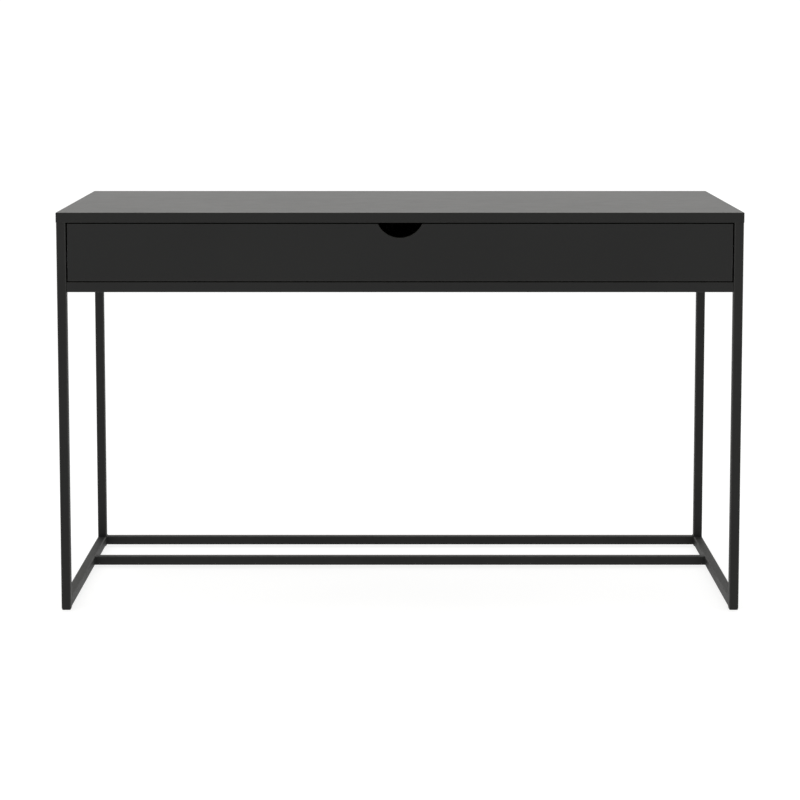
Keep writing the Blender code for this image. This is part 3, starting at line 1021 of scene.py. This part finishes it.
slide = {
    "sheet": 0.0012,
    "bend": 0.0011,
    "bendSteps": 4,
    "corner": 0.0016,
    "cornerSteps": 4,
    "border": 0.0012,
    "lip": 0.0037,  # outside the channel, at the mouth
    "arch": {"outer": 0.0006, "middle": 0.0004, "inner": 0.0005},
    "flangeSteps": 8,
    "innerRun": 1.15,  # the inner member's arch ends a little before its edge
    "slotWidth": 0.0044,
    "slotLonger": 0.0050,  # than it is wide
    "slotsAt": (0.070, 0.165, 0.262, 0.330),  # from the member's front end
    "cutLevels": {"outer": (-0.0062, 0.0062), "middle": (0.0,), "inner": (0.0,)},  # on the web
    "accessHole": 0.0095,
    "accessLonger": 0.004,
    "accessAt": (0.051, 0.225, 0.406),
    "cutReach": 0.003,
    "cutSides": 20,
}
cage = {
    "sheet": 0.0006,
    "bend": 0.0007,
    "bendSteps": 3,
    "corner": 0.0012,
    "cornerSteps": 3,
    "perRow": 6,
    "ball": {"outer": 0.0017, "inner": 0.0016},
    "ballSides": 16,
    "ballRings": 10,
    "holeSides": 20,
    "spare": 0.0001,  # round each ball, in its hole
    "window": (0.006, 0.010),  # its width, and how much longer than round it is
    "wearAngle": 4.0,
    "smoothAngle": 60,
}


# a round-ended slot through a web that faces X, as a tool to carve with
def slotTool(x, y, z, width, longer):
    reach = slide["cutReach"]
    tool = rod((x, y, z), 0, x - reach, x + reach, width / 2, slide["cutSides"])
    for way in (-1, 1):
        half = [v for v in tool.verts if (v.co.y - y) * way > mergeGap]
        bmesh.ops.translate(tool, vec=(0, way * longer / 2, 0), verts=half)
    return tool


# how far a flange is curled in, at a share of its depth from the web
def curl(member, share):
    amount = slide["arch"][member]
    if member == "outer":
        return amount * (2 * share - 1) ** 2
    if member == "middle":
        return amount * (0.5 + 0.5 * math.sin(math.tau * share))
    return amount * math.sin(math.pi * min(1.0, share * slide["innerRun"]))


# a member's outer face seen from its end, from the upper mouth round to the lower
def channelLine(member, back, mouth, half, y, z, lip):
    flange = []
    for i in range(slide["flangeSteps"] + 1):
        share = i / slide["flangeSteps"]
        flange.append((back + (mouth - back) * share, half - curl(member, share)))
    upper = flange[::-1]
    if lip:
        upper.insert(0, (mouth, half - lip))
    outline = upper + [(x, -level) for x, level in reversed(upper)]
    return [(x, y, z + level) for x, level in outline]


def makeSlideMember(member, side, sign, screws):
    node = f"slide_{member}_{side}"
    low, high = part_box(node)
    near, far = (low.x, high.x) if sign > 0 else (high.x, low.x)  # near is the drawer's side
    back, mouth = (near, far) if member == "inner" else (far, near)
    half = (high.z - low.z) / 2
    middle = (low + high) / 2
    lip = 0.0 if member == "inner" else slide["lip"]
    line = channelLine(member, back, mouth, half, low.y, middle.z, lip)
    draw = Vector((0, high.y - low.y, 0))
    shape = foldedSheet(line, draw, middle, slide)
    borderFlats(shape, slide["border"])
    markWear(shape)
    tools = drills(screws)
    if member == "middle":
        places, size = slide["accessAt"], (slide["accessHole"], slide["accessLonger"])
    else:
        places, size = slide["slotsAt"], (slide["slotWidth"], slide["slotLonger"])
    for along in places:
        for level in slide["cutLevels"][member]:
            tools.append(slotTool(back, low.y + along, middle.z + level, *size))
    shape = carve(shape, tools)
    piece = keepPiece(node + "_pressing", shape, "zinc_plated_steel", node)
    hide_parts(node)


def makeCage(which, side, sign):
    node = f"{which}_ball_cage_{side}"
    low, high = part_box(node)
    web = max(v.co.x * sign for v in frame["nodes"][node].data.vertices) * sign
    mouth = low.x if sign > 0 else high.x
    middle = (low + high) / 2
    around, inside = ("outer", "middle") if which == "outer" else ("middle", "inner")
    aroundBox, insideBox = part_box(f"slide_{around}_{side}"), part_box(f"slide_{inside}_{side}")
    race = (aroundBox[1].z - slide["sheet"] + insideBox[1].z) / 2 - middle.z
    half = race + cage["sheet"] / 2
    line = [(mouth, half), (web, half), (web, -half), (mouth, -half)]
    line = [(x, low.y, middle.z + level) for x, level in line]
    draw = Vector((0, high.y - low.y, 0))
    shape = foldedSheet(line, draw, (mouth, middle.y, middle.z), cage)
    markWear(shape)
    length = high.y - low.y
    pitch = length / cage["perRow"]
    ballX = (mouth + web - (0.0 if which == "outer" else sign * cage["sheet"])) / 2
    radius = cage["ball"][which]
    balls = bmesh.new()
    tools = []
    for i in range(cage["perRow"]):
        y = low.y + (i + 0.5) * pitch
        for level in (-race, race):
            spot = Vector((ballX, y, middle.z + level))
            bmesh.ops.create_uvsphere(
                balls,
                u_segments=cage["ballSides"],
                v_segments=cage["ballRings"],
                radius=radius,
                matrix=Matrix.Translation(spot),
            )
            start, end = spot.z - 2 * cage["sheet"], spot.z + 2 * cage["sheet"]
            tools.append(rod(spot, 2, start, end, radius + cage["spare"], cage["holeSides"]))
        tools.append(slotTool(web, y, middle.z, *cage["window"]))
    shape = carve(shape, tools)
    piece = keepPiece(node + "_strip", shape, "zinc_plated_steel", node)
    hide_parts(node)
    markWear(balls, cage["wearAngle"])
    keepPiece(node + "_balls", balls, "ball_steel", node, cage["smoothAngle"])


lever = {
    "length": 0.062,
    "height": 0.0085,
    "thick": 0.0016,
    "cuts": 13,
    "gap": 0.0002,  # to the slide member it lies on
    "at": 0.225,  # its middle, from the slide member's front end
    "lift": 0.0032,
    "sag": 0.0030,
    "waist": 0.45,
    "flare": 1.5,
    "edge": 0.0003,
    "edgeSteps": 3,
    "edgeAngle": 1.2,
    "smoothAngle": 40,
}


# a plastic release lever in the drawer's slide member, bowed and waisted in the middle
def makeLever(side, sign):
    low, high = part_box(f"slide_inner_{side}")
    z = (low.z + high.z) / 2 + lever["lift"]
    face = (low.x if sign > 0 else high.x) + sign * (slide["sheet"] + lever["gap"])
    y = low.y + lever["at"]
    size = Vector((lever["thick"], lever["length"], lever["height"])) / 2
    centre = Vector((face + sign * size.x, y, z))
    shape = cuboid(centre - size, centre + size)
    long = [e for e in shape.edges if e.calc_length() > lever["length"] / 2]
    bmesh.ops.subdivide_edges(shape, edges=long, cuts=lever["cuts"], use_grid_fill=True)
    waist = lever["waist"]
    for vert in shape.verts:
        turn = math.pi * ((vert.co.y - y) / lever["length"] + 0.5)
        wide = waist + (1.0 - waist) * abs(math.cos(turn)) ** lever["flare"]
        vert.co.z = z + (vert.co.z - z) * wide - lever["sag"] * math.sin(turn)
    roundEdges(shape, sharpEdges(shape, lever["edgeAngle"]), lever["edge"], lever["edgeSteps"])
    markWear(shape)
    name, smooth = f"slide_release_lever_{side}", lever["smoothAngle"]
    piece = keepPiece(name, shape, "glide_nylon", f"slide_inner_{side}", smooth)


def makeSlides():
    for side, sign in sides.items():
        makeSlideMember("outer", side, sign, screwsNamed("case_slide_screw", side))
        makeSlideMember("middle", side, sign, [])
        makeSlideMember("inner", side, sign, screwsNamed("drawer_slide_screw", side))
        makeCage("outer", side, sign)
        makeCage("inner", side, sign)
        makeLever(side, sign)
        makeBracket(side, sign)
    print("slides, cages, levers and brackets")


# floor and light

studio = {
    "floorRadius": 70.0,
    "floorSides": 96,
    "floorDrop": 0.0002,
    "floorTone": colour(0.28, 0.28, 0.279),
    "floorMottle": colour(0.26, 0.26, 0.259),
    "mottle": 0.4,
    "floorGloss": 0.1,
    "floorRoughness": 0.85,
    "floorGlow": 0.82,  # a light table's own light, which keeps shadows faint
    "glowTone": colour(1.0, 1.0, 0.998),
    "wallTone": colour(1.0, 0.995, 0.975),
    "wallLight": 1.08,
    "frontDark": 0.72,  # how much the room darkens, high up in front of the desk
    "darkAhead": (-0.6, 0.35),  # from fully dark to not at all, as a direction's Y
    "darkAbove": (0.10, 0.30),  # from not at all to fully dark, as a direction's Z
}
# name: place, aim, size, watts
lamps = {
    "key_softbox": ((-3.2, -3.4, 3.6), (0.0, 0.0, 0.5), 2.6, 45.0),
    "fill_softbox": ((3.6, -2.6, 2.2), (0.0, 0.0, 0.5), 2.4, 20.0),
    "top_softbox": ((0.0, 0.6, 4.2), (0.0, 0.0, 0.7), 3.0, 50.0),
}


def floorFinish():
    constants = {
        "Specular IOR Level": studio["floorGloss"],
        "Emission Strength": studio["floorGlow"],
        "Emission Color": studio["glowTone"],
    }
    made, shader, place = newFinish("pale_floor", constants)
    mottle = patches(place, studio["mottle"], 4.0)
    tone = mixed(step(mottle, 0.3, 0.7), studio["floorTone"], studio["floorMottle"])
    rough = studio["floorRoughness"] + (mottle - 0.5) * 0.1
    drive(shader, Base_Color=tone, Roughness=rough)
    return made


def makeFloor():
    shape = bmesh.new()
    sides, radius = studio["floorSides"], studio["floorRadius"]
    bmesh.ops.create_circle(shape, cap_ends=True, segments=sides, radius=radius)
    bmesh.ops.translate(shape, vec=(0, 0, -studio["floorDrop"]), verts=shape.verts)
    mesh = bpy.data.meshes.new("floor")
    shape.to_mesh(mesh)
    shape.free()
    floor = bpy.data.objects.new("floor", mesh)
    bpy.context.scene.collection.objects.link(floor)
    mesh.materials.append(floorFinish())


# a bright room on all sides, darker high in front
def makeRoom():
    world = bpy.data.worlds.new("studio")
    world.use_nodes = True
    sky = world.node_tree.nodes["Background"]
    sky.inputs["Color"].default_value = studio["wallTone"]
    where = Wire(world.node_tree.nodes.new("ShaderNodeTexCoord").outputs["Object"])
    ahead = where.node("SeparateXYZ", {}, {0: where}, "Y")
    above = where.node("SeparateXYZ", {}, {0: where}, "Z")
    behind, high = step(ahead, *studio["darkAhead"]), step(above, *studio["darkAbove"])
    dark = (1.0 - behind) * high * studio["frontDark"]
    drive(sky, Strength=(1.0 - dark) * studio["wallLight"])
    bpy.context.scene.world = world


def hangLamps():
    for name, (spot, aim, size, watts) in lamps.items():
        data = bpy.data.lights.new(name, "AREA")
        data.size = size
        data.energy = watts
        lamp = bpy.data.objects.new(name, data)
        bpy.context.scene.collection.objects.link(lamp)
        lamp.location = spot
        lamp.rotation_euler = (Vector(aim) - Vector(spot)).to_track_quat("-Z", "Y").to_euler()


def makeStudio():
    makeFloor()
    makeRoom()
    hangLamps()
    view = bpy.context.scene.view_settings
    view.view_transform = "Standard"
    view.look = "None"
    view.exposure = 0.0
    view.gamma = 1.0
    print("studio: floor, world and", len(lamps), "lamps")


placeCamera()
makeCase()
makeDrawerFront()
makeDrawerBox()
makeFrame()
makeSlides()
makeScrews()
makeStudio()

bpy.context.view_layer.update()
